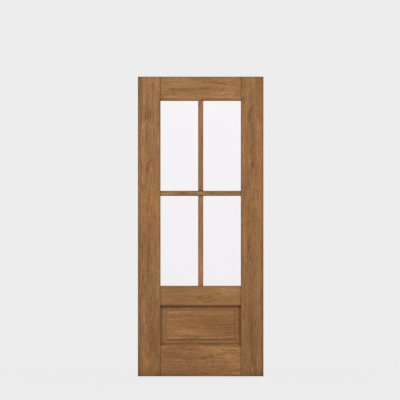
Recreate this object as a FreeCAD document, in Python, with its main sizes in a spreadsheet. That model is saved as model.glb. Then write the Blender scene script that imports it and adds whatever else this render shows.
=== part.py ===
import FreeCAD, Part
import os
import Sketcher

# Half-glazed door leaf. Two stiles and three rails, joined with blind mortise and tenon joints,
# hold four sealed glass units above one raised panel. Glazing bars divide the glass two by two,
# and mitred beads hold each unit from the back. Mitred strips slope up to the panel's field.
#
# The origin is at the foot of the hinge edge, in the middle of its thickness. X runs across the
# leaf to the lock edge, Y runs from the front face to the back face, and Z is up. Millimetres.

SIZES = (
    ("leaf_height", 1981, "height of the leaf"),
    ("leaf_width", 830, "width of the leaf, edge to edge"),
    ("leaf_thickness", 44, "front face to back face"),
    ("stile_width", 149, "face width of each stile"),
    ("top_rail_height", 160, "face height of the top rail"),
    ("lock_rail_height", 127, "face height of the rail between glass and panel"),
    ("panel_opening_height", 268, "clear height of the panel's opening"),
    ("bottom_rail_height", 203, "face height of the bottom rail"),
    ("arris", 1.2, "eased edge on stiles and rails"),
    ("lip_thickness", 14, "timber in front of the glass"),
    ("rebate_depth", 12, "how far the timber laps over the edge of the glass"),
    ("sheet_thickness", 4, "each sheet of a sealed unit"),
    ("cavity_width", 6, "space between the two sheets"),
    ("glass_edge_gap", 2, "space between a sheet's edge and the rebate"),
    ("spacer_inset", 3, "seal between the sheet's edge and the spacer"),
    ("spacer_width", 6.5, "spacer, seen square to the glass"),
    ("bead_inset", 1, "beads and bars set in from the back face"),
    ("bead_nose", 3, "square part of a bead against the glass"),
    ("bead_bevel", 5, "fall of a bead's sloping face"),
    ("bar_web", 9, "core of a glazing bar between two rebates"),
    ("bar_arris", 2.5, "bevel on the front edges of a glazing bar"),
    ("stub_length", 15, "tenon at the end of a glazing bar"),
    ("groove_width", 14, "panel groove, also the tenons' thickness"),
    ("groove_depth", 12, "panel groove"),
    ("tenon_length", 80, "tenon beyond the bottom of the groove or rebate"),
    ("tenon_shoulder", 8, "tenon's edge to the bottom of the groove or rebate"),
    ("haunch_height", 45, "tenon's edge to the end of the stile"),
    ("twin_gap", 45, "between the two tenons of the bottom rail"),
    ("mortise_spare", 2, "glue space beyond a tenon's end"),
    ("panel_recess", 5, "field of the panel below the faces of the leaf"),
    ("panel_play", 0.2, "each side of the panel's tongue in its groove"),
    ("panel_float", 2, "room for the panel to swell, each edge"),
    ("panel_flat", 14.5, "flat margin of the panel inside its opening"),
    ("strip_width", 27, "mitred strip between the flat and the field"),
    ("strip_edge", 2.6, "height of a strip at its outer edge"),
    ("strip_bevel", 2.2, "bevel on a strip's outer edge"),
    ("field_bevel", 4, "bevel round the field of the panel"),
)

doc = FreeCAD.newDocument("HalfGlazedDoor")
sheet = doc.addObject("Spreadsheet::Sheet", "Sizes")
for row, (alias, value, note) in enumerate(SIZES, start=1):
    sheet.set(f"A{row}", note)
    sheet.set(f"B{row}", str(value))
    sheet.setAlias(f"B{row}", alias)
doc.recompute()

# Every name below holds an expression in the sheet's values, so the document follows the sheet.
HEIGHT = "Sizes.leaf_height"
WIDTH = "Sizes.leaf_width"
THICK = "Sizes.leaf_thickness"
STILE = "Sizes.stile_width"
ARRIS = "Sizes.arris"
LIP = "Sizes.lip_thickness"
REBATE = "Sizes.rebate_depth"
GROOVE = "Sizes.groove_depth"
WEB = "Sizes.bar_web"
TOP_RAIL = "Sizes.top_rail_height"
LOCK_RAIL = "Sizes.lock_rail_height"
BOTTOM_RAIL = "Sizes.bottom_rail_height"
PANEL_OPENING = "Sizes.panel_opening_height"

FRONT = f"-{THICK} / 2"
OPENING = f"({WIDTH} - 2 * {STILE})"
LOCK_FOOT = f"({BOTTOM_RAIL} + {PANEL_OPENING})"
LOCK_MIDDLE = f"({LOCK_FOOT} + {LOCK_RAIL} / 2)"
GLASS_FOOT = f"({LOCK_FOOT} + {LOCK_RAIL})"
GLASS_HEAD = f"({HEIGHT} - {TOP_RAIL})"
BAR_WIDTH = f"({WEB} + 2 * {REBATE})"
BAR_MIDDLE = f"(({GLASS_FOOT} + {GLASS_HEAD}) / 2)"
BAR_BACK = f"({THICK} - Sizes.bead_inset)"
PANE_WIDTH = f"(({OPENING} - {BAR_WIDTH}) / 2)"
PANE_HEIGHT = f"(({GLASS_HEAD} - {GLASS_FOOT} - {BAR_WIDTH}) / 2)"
GROOVE_FRONT = f"(({THICK} - Sizes.groove_width) / 2)"
GROOVE_BACK = f"(({THICK} + Sizes.groove_width) / 2)"
REBATE_SET_IN = f"({REBATE} + Sizes.tenon_shoulder)"
GROOVE_SET_IN = f"({GROOVE} + Sizes.tenon_shoulder)"
TWIN_TENON = (
    f"(({BOTTOM_RAIL} - Sizes.haunch_height - {GROOVE_SET_IN} - Sizes.twin_gap) / 2)"
)
STUB_DEPTH = "(Sizes.stub_length + Sizes.mortise_spare)"
PANEL_THICK = f"({THICK} - 2 * Sizes.panel_recess)"
TONGUE = "(Sizes.groove_width - 2 * Sizes.panel_play)"
PANEL_FALL = f"(({PANEL_THICK} - {TONGUE}) / 2)"

door = []
cuts = []


def measure(expression):
    """The number that an expression stands for now."""
    return float(sheet.evalExpression(expression))


def new_body(label, x="0", y=FRONT, z="0", turn=0.0):
    """An empty body whose corner follows the sheet, turned in the plane of the leaf."""
    body = doc.addObject("PartDesign::Body", "".join(word.title() for word in label.split("_")))
    body.Label = label
    body.Placement = FreeCAD.Placement(
        FreeCAD.Vector(), FreeCAD.Rotation(FreeCAD.Vector(0, 1, 0), turn)
    )
    for axis, expression in (("x", x), ("y", y), ("z", z)):
        body.setExpression(f"Placement.Base.{axis}", expression)
    door.append(body)
    return body


def rectangle(left, right, low, high):
    """Corners of a rectangle, in order round it."""
    return [(left, low), (right, low), (right, high), (left, high)]


def draw(body, name, plane, loops, lift="0"):
    """A sketch of closed loops on an origin plane of the body, lifted along the plane's normal."""
    sketch = body.newObject("Sketcher::SketchObject", name)
    support = next(item for item in body.Origin.OriginFeatures if item.Role == plane)
    sketch.AttachmentSupport = [(support, "")]
    sketch.MapMode = "FlatFace"
    sketch.setExpression("AttachmentOffset.Base.z", lift)
    for corners in loops:
        first = sketch.GeometryCount
        spots = [FreeCAD.Vector(measure(across), measure(up), 0) for across, up in corners]
        for here, there in zip(spots, spots[1:] + spots[:1]):
            sketch.addGeometry(Part.LineSegment(here, there), False)
        for step, (across, up) in enumerate(corners):
            line = first + step
            following = first + (step + 1) % len(corners)
            sketch.addConstraint(Sketcher.Constraint("Coincident", line, 2, following, 1))
            pin(sketch, line, "DistanceX", across, -2)
            pin(sketch, line, "DistanceY", up, -1)
    return sketch


def pin(sketch, line, kind, expression, axis):
    """Hold the start of a line on an axis, or at a distance from the origin that follows the sheet."""
    if expression == "0":
        sketch.addConstraint(Sketcher.Constraint("PointOnObject", line, 1, axis))
        return
    index = sketch.addConstraint(
        Sketcher.Constraint(kind, -1, 1, line, 1, measure(expression))
    )
    sketch.setExpression(f"Constraints[{index}]", expression)


def pad(body, name, sketch, length, backwards=False):
    """Extrude a sketch along its normal."""
    feature = body.newObject("PartDesign::Pad", name)
    feature.Profile = sketch
    feature.setExpression("Length", length)
    feature.Reversed = backwards
    return feature


def pocket(body, name, sketch, length, forwards=False):
    """Cut a sketch out of the body, against its normal unless forwards."""
    feature = body.newObject("PartDesign::Pocket", name)
    feature.Profile = sketch
    feature.setExpression("Length", length)
    feature.Reversed = forwards
    cuts.append(feature)
    return feature


def ease_long_edges(body):
    """Bevel the edges that run along a rail on its front and back faces."""
    doc.recompute()
    solid = body.Tip
    thick = measure(THICK)
    names = []
    for number, edge in enumerate(solid.Shape.Edges, start=1):
        start, end = edge.Vertexes[0].Point, edge.Vertexes[-1].Point
        along = abs(end.x - start.x)
        level = abs(end.y - start.y) + abs(end.z - start.z)
        on_face = min(abs(start.y), abs(start.y - thick)) < 0.001
        if along > measure(OPENING) / 2 and level < 0.001 and on_face:
            names.append(f"Edge{number}")
    chamfer = body.newObject("PartDesign::Chamfer", "EasedEdges")
    chamfer.Base = (solid, names)
    chamfer.setExpression("Size", ARRIS)
    return chamfer


def build_stile():
    """The hinge stile: rebated for glass above the lock rail, grooved for the panel below it."""
    body = new_body("hinge_stile")
    blank = [
        ("0", ARRIS),
        (ARRIS, "0"),
        (f"{STILE} - {ARRIS}", "0"),
        (STILE, ARRIS),
        (STILE, f"{THICK} - {ARRIS}"),
        (f"{STILE} - {ARRIS}", THICK),
        (ARRIS, THICK),
        ("0", f"{THICK} - {ARRIS}"),
    ]
    pad(body, "Blank", draw(body, "BlankSection", "XY_Plane", [blank]), HEIGHT)
    rebate = rectangle(f"{STILE} - {REBATE}", STILE, LIP, THICK)
    rebate_sketch = draw(body, "RebateSection", "XY_Plane", [rebate], LOCK_MIDDLE)
    pocket(body, "GlassRebate", rebate_sketch, f"{HEIGHT} - {LOCK_MIDDLE}", forwards=True)
    groove = rectangle(f"{STILE} - {GROOVE}", STILE, GROOVE_FRONT, GROOVE_BACK)
    groove_sketch = draw(body, "GrooveSection", "XY_Plane", [groove])
    pocket(body, "PanelGroove", groove_sketch, LOCK_MIDDLE, forwards=True)

    low_twin_head = f"Sizes.haunch_height + {TWIN_TENON}"
    high_twin_foot = f"{BOTTOM_RAIL} - {GROOVE_SET_IN} - {TWIN_TENON}"
    grooved_tenons = [
        ("Sizes.haunch_height", low_twin_head),
        (high_twin_foot, f"{BOTTOM_RAIL} - {GROOVE_SET_IN}"),
    ]
    rebated_tenons = [
        (f"{LOCK_FOOT} + {GROOVE_SET_IN}", f"{GLASS_FOOT} - {REBATE_SET_IN}"),
        (f"{GLASS_HEAD} + {REBATE_SET_IN}", f"{HEIGHT} - Sizes.haunch_height"),
    ]
    for name, spans, depth in (
        ("BottomMortises", grooved_tenons, GROOVE),
        ("UpperMortises", rebated_tenons, REBATE),
    ):
        holes = [rectangle(GROOVE_FRONT, GROOVE_BACK, low, high) for low, high in spans]
        sketch = draw(body, f"{name}Outline", "YZ_Plane", holes, STILE)
        pocket(body, name, sketch, f"{depth} + Sizes.tenon_length + Sizes.mortise_spare")
    hole = rectangle(
        GROOVE_FRONT, GROOVE_BACK, f"{BAR_MIDDLE} - {WEB} / 2", f"{BAR_MIDDLE} + {WEB} / 2"
    )
    bar_sketch = draw(body, "BarMortiseOutline", "YZ_Plane", [hole], STILE)
    pocket(body, "BarMortise", bar_sketch, f"{REBATE} + {STUB_DEPTH}")
    return body


def mirror_stile(stile):
    """The lock stile, the hinge stile's reflection in the middle of the leaf."""
    mirrored = doc.addObject("Part::Mirroring", "LockStile")
    mirrored.Label = "lock_stile"
    mirrored.Source = stile
    mirrored.Normal = FreeCAD.Vector(1, 0, 0)
    mirrored.setExpression("Base.x", f"{WIDTH} / 2")
    door.append(mirrored)


def rebated_plan():
    """Plan of a rail beside the glass: short shoulders in front, long ones filling the rebates."""
    return [
        ("0", ARRIS),
        (ARRIS, "0"),
        (f"{OPENING} - {ARRIS}", "0"),
        (OPENING, ARRIS),
        (OPENING, LIP),
        (f"{OPENING} + {REBATE}", LIP),
        (f"{OPENING} + {REBATE}", THICK),
        (f"-{REBATE}", THICK),
        (f"-{REBATE}", LIP),
        ("0", LIP),
    ]


def grooved_plan():
    """Plan of a rail beside the panel: even shoulders, with a tongue filling each groove."""
    return [
        ("0", ARRIS),
        (ARRIS, "0"),
        (f"{OPENING} - {ARRIS}", "0"),
        (OPENING, ARRIS),
        (OPENING, GROOVE_FRONT),
        (f"{OPENING} + {GROOVE}", GROOVE_FRONT),
        (f"{OPENING} + {GROOVE}", GROOVE_BACK),
        (OPENING, GROOVE_BACK),
        (OPENING, f"{THICK} - {ARRIS}"),
        (f"{OPENING} - {ARRIS}", THICK),
        (ARRIS, THICK),
        ("0", f"{THICK} - {ARRIS}"),
        ("0", GROOVE_BACK),
        (f"-{GROOVE}", GROOVE_BACK),
        (f"-{GROOVE}", GROOVE_FRONT),
        ("0", GROOVE_FRONT),
    ]


def cut_along(body, name, section, overrun):
    """Run a rectangular cut the whole length of a rail."""
    sketch = draw(body, f"{name}Section", "YZ_Plane", [section], f"-{overrun}")
    pocket(body, name, sketch, f"{OPENING} + 2 * {overrun}", forwards=True)


def add_tenons(body, spans, shoulder):
    """Tenons on both ends of a rail, drawn as lengths that run through it."""
    sections = [rectangle(GROOVE_FRONT, GROOVE_BACK, low, high) for low, high in spans]
    reach = f"({shoulder} + Sizes.tenon_length)"
    sketch = draw(body, "TenonSection", "YZ_Plane", sections, f"-{reach}")
    pad(body, "Tenons", sketch, f"{OPENING} + 2 * {reach}")


def cut_bar_mortise(body, level, upwards):
    """The hole for the end of the upright glazing bar, in the bottom of a rail's rebate."""
    hole = rectangle(
        f"({OPENING} - {WEB}) / 2", f"({OPENING} + {WEB}) / 2", GROOVE_FRONT, GROOVE_BACK
    )
    sketch = draw(body, "BarMortiseOutline", "XY_Plane", [hole], level)
    pocket(body, "BarMortise", sketch, STUB_DEPTH, forwards=upwards)


def build_top_rail():
    body = new_body("top_rail", x=STILE, z=GLASS_HEAD)
    pad(body, "Blank", draw(body, "Plan", "XY_Plane", [rebated_plan()]), TOP_RAIL)
    cut_along(body, "GlassRebate", rectangle(LIP, THICK, "0", REBATE), REBATE)
    add_tenons(body, [(REBATE_SET_IN, f"{TOP_RAIL} - Sizes.haunch_height")], REBATE)
    cut_bar_mortise(body, REBATE, upwards=True)
    ease_long_edges(body)


def build_lock_rail():
    body = new_body("lock_rail", x=STILE, z=LOCK_FOOT)
    half = f"{LOCK_RAIL} / 2"
    pad(body, "GroovedHalf", draw(body, "GroovedPlan", "XY_Plane", [grooved_plan()]), half)
    pad(body, "RebatedHalf", draw(body, "RebatedPlan", "XY_Plane", [rebated_plan()], half), half)
    groove = rectangle(GROOVE_FRONT, GROOVE_BACK, "0", GROOVE)
    cut_along(body, "PanelGroove", groove, GROOVE)
    rebate = rectangle(LIP, THICK, f"{LOCK_RAIL} - {REBATE}", LOCK_RAIL)
    cut_along(body, "GlassRebate", rebate, REBATE)
    add_tenons(body, [(GROOVE_SET_IN, f"{LOCK_RAIL} - {REBATE_SET_IN}")], REBATE)
    cut_bar_mortise(body, f"{LOCK_RAIL} - {REBATE}", upwards=False)
    ease_long_edges(body)


def build_bottom_rail():
    body = new_body("bottom_rail", x=STILE)
    pad(body, "Blank", draw(body, "Plan", "XY_Plane", [grooved_plan()]), BOTTOM_RAIL)
    groove = rectangle(GROOVE_FRONT, GROOVE_BACK, f"{BOTTOM_RAIL} - {GROOVE}", BOTTOM_RAIL)
    cut_along(body, "PanelGroove", groove, GROOVE)
    twins = [
        ("Sizes.haunch_height", f"Sizes.haunch_height + {TWIN_TENON}"),
        (f"{BOTTOM_RAIL} - {GROOVE_SET_IN} - {TWIN_TENON}", f"{BOTTOM_RAIL} - {GROOVE_SET_IN}"),
    ]
    add_tenons(body, twins, GROOVE)
    ease_long_edges(body)


def build_panel():
    """The raised panel: a bevelled field on each face, and a flat tongue round it."""
    reach = f"({GROOVE} - Sizes.panel_float)"
    width = f"({OPENING} + 2 * {reach})"
    height = f"({PANEL_OPENING} + 2 * {reach})"
    field_foot = f"({reach} + Sizes.panel_flat + Sizes.strip_width)"
    body = new_body(
        "raised_panel",
        x=f"{STILE} - {reach}",
        y=f"{FRONT} + Sizes.panel_recess",
        z=f"{BOTTOM_RAIL} - {reach}",
    )
    blank = rectangle("0", width, "0", PANEL_THICK)
    pad(body, "Blank", draw(body, "BlankPlan", "XY_Plane", [blank]), height)
    margin = [
        ("0", "0"),
        (f"{field_foot} + Sizes.field_bevel", "0"),
        (field_foot, "Sizes.field_bevel"),
        (field_foot, PANEL_FALL),
        ("0", PANEL_FALL),
    ]

    def margins(across):
        """The margin's waste at both edges and on both faces, as (across, depth) loops."""
        near = margin
        far = [(f"{across} - ({run})", drop) for run, drop in margin]
        near_back = [(run, f"{PANEL_THICK} - {drop}") for run, drop in near]
        far_back = [(run, f"{PANEL_THICK} - {drop}") for run, drop in far]
        return [near, far, near_back, far_back]

    sides = draw(body, "SideMargins", "XY_Plane", margins(width))
    pocket(body, "SideWaste", sides, height, forwards=True)
    ends = [[(drop, run) for run, drop in loop] for loop in margins(height)]
    pocket(body, "EndWaste", draw(body, "EndMargins", "YZ_Plane", ends), width, forwards=True)


def build_margin_strips(face, level, inwards):
    """Four mitred strips on one face of the panel, sloping up to the bevel of the field.

    Level is where their inner edges come to, and inwards is the sign of Y from there to the panel.
    """
    depth = f"({PANEL_FALL} - Sizes.field_bevel)"
    strip = "Sizes.strip_width"
    bevel = "Sizes.strip_bevel"
    section = [
        (f"{inwards}{depth}", "0"),
        (f"{inwards}({depth} - Sizes.strip_edge + {bevel})", "0"),
        (f"{inwards}({depth} - Sizes.strip_edge)", bevel),
        ("0", strip),
        (f"{inwards}{depth}", strip),
    ]
    left = f"{STILE} + Sizes.panel_flat"
    right = f"{WIDTH} - {STILE} - Sizes.panel_flat"
    foot = f"{BOTTOM_RAIL} + Sizes.panel_flat"
    head = f"{LOCK_FOOT} - Sizes.panel_flat"
    across = f"({OPENING} - 2 * Sizes.panel_flat)"
    upright = f"({PANEL_OPENING} - 2 * Sizes.panel_flat)"
    for side, x, z, turn, length in (
        ("foot", left, foot, 0, across),
        ("right", right, foot, -90, upright),
        ("head", right, head, 180, across),
        ("left", left, head, 90, upright),
    ):
        body = new_body(f"{face}_strip_{side}", x=x, y=level, z=z, turn=turn)
        pad(body, "Length", draw(body, "Section", "YZ_Plane", [section]), length)
        mitres = [
            [("0", "0"), (strip, strip), ("0", strip)],
            [(length, "0"), (length, strip), (f"{length} - {strip}", strip)],
        ]
        outline = draw(body, "MitreOutline", "XZ_Plane", mitres)
        pocket(body, "Mitres", outline, depth, forwards=inwards == "-")


def build_bar(label, length, x, z, turn, stub_from, stub_to):
    """A glazing bar of T section, its web longer than its face, with a stub tenon on fixed ends."""
    body = new_body(label, x=x, z=z, turn=turn)
    bevel = "Sizes.bar_arris"
    section = [
        ("0", bevel),
        (bevel, "0"),
        (LIP, "0"),
        (LIP, REBATE),
        (BAR_BACK, REBATE),
        (BAR_BACK, f"{REBATE} + {WEB}"),
        (LIP, f"{REBATE} + {WEB}"),
        (LIP, BAR_WIDTH),
        (bevel, BAR_WIDTH),
        ("0", f"{BAR_WIDTH} - {bevel}"),
    ]
    section_sketch = draw(body, "Section", "YZ_Plane", [section], f"-{REBATE}")
    pad(body, "Length", section_sketch, f"{length} + 2 * {REBATE}")
    ends = [
        rectangle(f"-{REBATE}", "0", "0", LIP),
        rectangle(length, f"{length} + {REBATE}", "0", LIP),
    ]
    pocket(body, "FaceEnds", draw(body, "EndPlan", "XY_Plane", ends), BAR_WIDTH, forwards=True)
    stub = rectangle(GROOVE_FRONT, GROOVE_BACK, REBATE, f"{REBATE} + {WEB}")
    stub_sketch = draw(body, "StubSection", "YZ_Plane", [stub], stub_from)
    pad(body, "Stub", stub_sketch, f"{stub_to} - ({stub_from})")


def build_bars():
    stub = f"({REBATE} + Sizes.stub_length)"
    build_bar(
        "cross_bar", OPENING, STILE, f"{BAR_MIDDLE} - {BAR_WIDTH} / 2", 0,
        f"-{stub}", f"{OPENING} + {stub}",
    )
    upright_x = f"({WIDTH} + {BAR_WIDTH}) / 2"
    build_bar(
        "upper_bar", PANE_HEIGHT, upright_x, f"{BAR_MIDDLE} + {BAR_WIDTH} / 2", -90,
        f"{PANE_HEIGHT} / 2", f"{PANE_HEIGHT} + {stub}",
    )
    build_bar(
        "lower_bar", PANE_HEIGHT, upright_x, GLASS_FOOT, -90,
        f"-{stub}", f"{PANE_HEIGHT} / 2",
    )


def build_sealed_unit(place, x, z):
    """Two sheets of glass with a metal spacer bent round between them."""
    lap = f"({REBATE} - Sizes.glass_edge_gap)"
    width = f"({PANE_WIDTH} + 2 * {lap})"
    height = f"({PANE_HEIGHT} + 2 * {lap})"
    outer = "Sizes.spacer_inset"
    inner = "(Sizes.spacer_inset + Sizes.spacer_width)"
    sheet_loops = [rectangle("0", width, "0", height)]
    spacer_loops = [
        rectangle(outer, f"{width} - {outer}", outer, f"{height} - {outer}"),
        rectangle(inner, f"{width} - {inner}", inner, f"{height} - {inner}"),
    ]
    front = f"{FRONT} + {LIP}"
    spacer_front = f"{front} + Sizes.sheet_thickness"
    back_front = f"{spacer_front} + Sizes.cavity_width"
    for piece, loops, y, depth in (
        ("front_glass", sheet_loops, front, "Sizes.sheet_thickness"),
        ("spacer", spacer_loops, spacer_front, "Sizes.cavity_width"),
        ("back_glass", sheet_loops, back_front, "Sizes.sheet_thickness"),
    ):
        body = new_body(f"{piece}_{place}", x=f"{x} - {lap}", y=y, z=f"{z} - {lap}")
        pad(body, "Sheet", draw(body, "Outline", "XZ_Plane", loops), depth, backwards=True)


def build_beads(place, x, z):
    """Four mitred beads round the back of one unit, each drawn along X and turned into place."""
    depth = f"({BAR_BACK} - {LIP} - 2 * Sizes.sheet_thickness - Sizes.cavity_width)"
    back_of_glass = f"{FRONT} + {LIP} + 2 * Sizes.sheet_thickness + Sizes.cavity_width"
    left = f"{x} - {REBATE}"
    right = f"{x} + {PANE_WIDTH} + {REBATE}"
    foot = f"{z} - {REBATE}"
    head = f"{z} + {PANE_HEIGHT} + {REBATE}"
    across = f"({PANE_WIDTH} + 2 * {REBATE})"
    upright = f"({PANE_HEIGHT} + 2 * {REBATE})"
    section = [
        ("0", "0"),
        (depth, "0"),
        (depth, f"{REBATE} - Sizes.bead_bevel"),
        ("Sizes.bead_nose", REBATE),
        ("0", REBATE),
    ]
    for side, start_x, start_z, turn, length in (
        ("foot", left, foot, 0, across),
        ("right", right, foot, -90, upright),
        ("head", right, head, 180, across),
        ("left", left, head, 90, upright),
    ):
        body = new_body(f"bead_{place}_{side}", x=start_x, y=back_of_glass, z=start_z, turn=turn)
        pad(body, "Length", draw(body, "Section", "YZ_Plane", [section]), length)
        mitres = [
            [("0", "0"), (REBATE, REBATE), ("0", REBATE)],
            [(length, "0"), (length, REBATE), (f"{length} - {REBATE}", REBATE)],
        ]
        pocket(body, "Mitres", draw(body, "MitreOutline", "XZ_Plane", mitres), depth)


def build_glazing():
    columns = (("left", STILE), ("right", f"{STILE} + {PANE_WIDTH} + {BAR_WIDTH}"))
    rows = (("lower", GLASS_FOOT), ("upper", f"{GLASS_FOOT} + {PANE_HEIGHT} + {BAR_WIDTH}"))
    for row_name, z in rows:
        for column_name, x in columns:
            place = f"{row_name}_{column_name}"
            build_sealed_unit(place, x, z)
            build_beads(place, x, z)


def check_document():
    """Stop if anything failed, came out empty, or cut nothing."""
    for item in doc.Objects:
        if "Invalid" in item.State or "Error" in item.State:
            raise RuntimeError(f"{item.Label} did not recompute: {item.State}")
    for feature in cuts:
        if feature.BaseFeature.Shape.Volume - feature.Shape.Volume < 1:
            raise RuntimeError(f"{feature.Label} cut nothing")
    for piece in door:
        if piece.Shape.isNull() or not piece.Shape.isValid() or len(piece.Shape.Solids) != 1:
            raise RuntimeError(f"{piece.Label} is not one sound solid")


hinge_stile = build_stile()
mirror_stile(hinge_stile)
build_top_rail()
build_lock_rail()
build_bottom_rail()
build_panel()
build_margin_strips("front", f"{FRONT} + Sizes.panel_recess + Sizes.field_bevel", "")
build_margin_strips("back", f"{THICK} / 2 - Sizes.panel_recess - Sizes.field_bevel", "-")
build_bars()
build_glazing()
doc.recompute()
check_document()

os.makedirs("parts", exist_ok=True)
for piece in door:
    piece.Shape.exportStep(f"parts/{piece.Label}.step")
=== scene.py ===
"""Finishes the half-glazed door leaf: stained timber, clear panes, sealant, bead pins and a stage."""
from functools import partial, reduce
from math import radians
from typing import NamedTuple

import bpy
import numpy as np
from bpy.props import FloatProperty, FloatVectorProperty, PointerProperty
from bpy.types import NodeSocket, Operator, Panel, PropertyGroup
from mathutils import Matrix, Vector


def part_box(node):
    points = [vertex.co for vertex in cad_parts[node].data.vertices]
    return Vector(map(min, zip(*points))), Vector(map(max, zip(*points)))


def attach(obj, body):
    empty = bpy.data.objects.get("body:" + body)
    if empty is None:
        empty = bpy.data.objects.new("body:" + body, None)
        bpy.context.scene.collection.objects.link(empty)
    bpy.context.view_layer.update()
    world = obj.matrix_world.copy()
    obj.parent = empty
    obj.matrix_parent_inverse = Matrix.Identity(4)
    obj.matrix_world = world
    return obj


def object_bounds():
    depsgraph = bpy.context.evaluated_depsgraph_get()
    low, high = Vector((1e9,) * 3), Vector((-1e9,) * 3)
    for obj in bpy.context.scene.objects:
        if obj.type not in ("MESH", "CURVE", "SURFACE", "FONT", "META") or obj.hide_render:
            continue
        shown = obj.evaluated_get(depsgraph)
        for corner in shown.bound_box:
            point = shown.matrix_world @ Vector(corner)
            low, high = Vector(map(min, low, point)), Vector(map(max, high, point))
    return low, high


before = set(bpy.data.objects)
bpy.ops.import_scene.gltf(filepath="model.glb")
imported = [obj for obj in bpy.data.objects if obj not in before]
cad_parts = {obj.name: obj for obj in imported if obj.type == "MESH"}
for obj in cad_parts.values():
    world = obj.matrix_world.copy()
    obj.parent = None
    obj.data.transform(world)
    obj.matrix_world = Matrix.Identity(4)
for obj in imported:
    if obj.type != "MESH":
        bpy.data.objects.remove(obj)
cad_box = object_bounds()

bl_info = {
    "name": "Half-Glazed Door Leaf",
    "version": (1, 0, 0),
    "blender": (4, 5, 0),
    "location": "3D View > Sidebar > Door",
    "description": "Finishes a stained timber door leaf with four clear panes and a raised panel",
    "category": "Object",
}

BODY = "root"
PLACES = ("lower_left", "lower_right", "upper_left", "upper_right")
BEAD_SIDES = ("foot", "right", "head", "left")
UPRIGHT_SIDES = ("left", "right")
LEVEL_SIDES = ("foot", "head")


class Face(NamedTuple):
    """An outline on the face of the leaf, or one value for each of its sides."""

    left: float
    right: float
    foot: float
    head: float


class Mark(NamedTuple):
    """A fleck or streak in a board: its middle, its reach each way in metres, and how dark it is.
    Below nought it is lighter than the board."""

    x: float
    z: float
    reach_x: float
    reach_z: float
    depth: float


class Board(NamedTuple):
    """How one timber piece is cut and stained. Its grain is upright or level, the face is its visible
    outline, and the cut is its place in the tree. Figure is how strong the grain is, stretch how short and
    how narrow its streaks are, and hue how far it leans to orange and to olive. Arris gives how dark each
    side of the face is: painted shade along that arris and a dark joint where it meets another board, and
    on the panel the painted shade in that side of its margin. Rims give how dark the painted shade at the
    outer and the inner edge of a strip is."""

    node: str
    grain: str
    face: Face
    cut: tuple
    shade: float = 0.0
    figure: float = 1.0
    stretch: tuple = (1.0, 1.0)
    hue: tuple = (0.0, 0.0)
    arris: Face = Face(0.0, 0.0, 0.0, 0.0)
    rims: tuple = (0.0, 0.0)
    marks: tuple = ()


class Layer(NamedTuple):
    """Noise in the grain: its waves a metre along, through and across the grain, how much finer detail it
    holds, how strongly it swings about nought, how far it is warped, and how far it is moved in the tree."""

    waves: tuple
    detail: float = 2.0
    swing: float = 7.0
    warp: float = 0.0
    shift: tuple = (0.0, 0.0, 0.0)


class Line(NamedTuple):
    """A dark line along an edge: full from the edge to start, gone at stop, and how dark it is.
    Below nought it is lighter instead."""

    start: float
    stop: float
    depth: float


# The leaf's main lines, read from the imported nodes, in metres.
LEAF_LOW, LEAF_HIGH = cad_box
LEAF = Face(LEAF_LOW.x, LEAF_HIGH.x, LEAF_LOW.z, LEAF_HIGH.z)
FRONT = LEAF_LOW.y
MIDDLE = (LEAF.left + LEAF.right) / 2.0
STILE_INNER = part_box("hinge_stile")[1].x
RAIL_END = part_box("lock_stile")[0].x
BOTTOM_RAIL_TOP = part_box("bottom_rail")[1].z
LOCK_RAIL_LOW, GLASS_FOOT = (corner.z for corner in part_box("lock_rail"))
GLASS_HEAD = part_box("top_rail")[0].z
BAR_LOW, BAR_HIGH = (corner.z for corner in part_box("cross_bar"))
BAR_LEFT, BAR_RIGHT = (corner.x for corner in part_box("upper_bar"))
PANEL_OPENING = Face(STILE_INNER, RAIL_END, BOTTOM_RAIL_TOP, LOCK_RAIL_LOW)
STRIP_OUTER, STRIP_INNER = (corner.x - STILE_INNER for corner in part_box("front_strip_left"))

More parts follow.
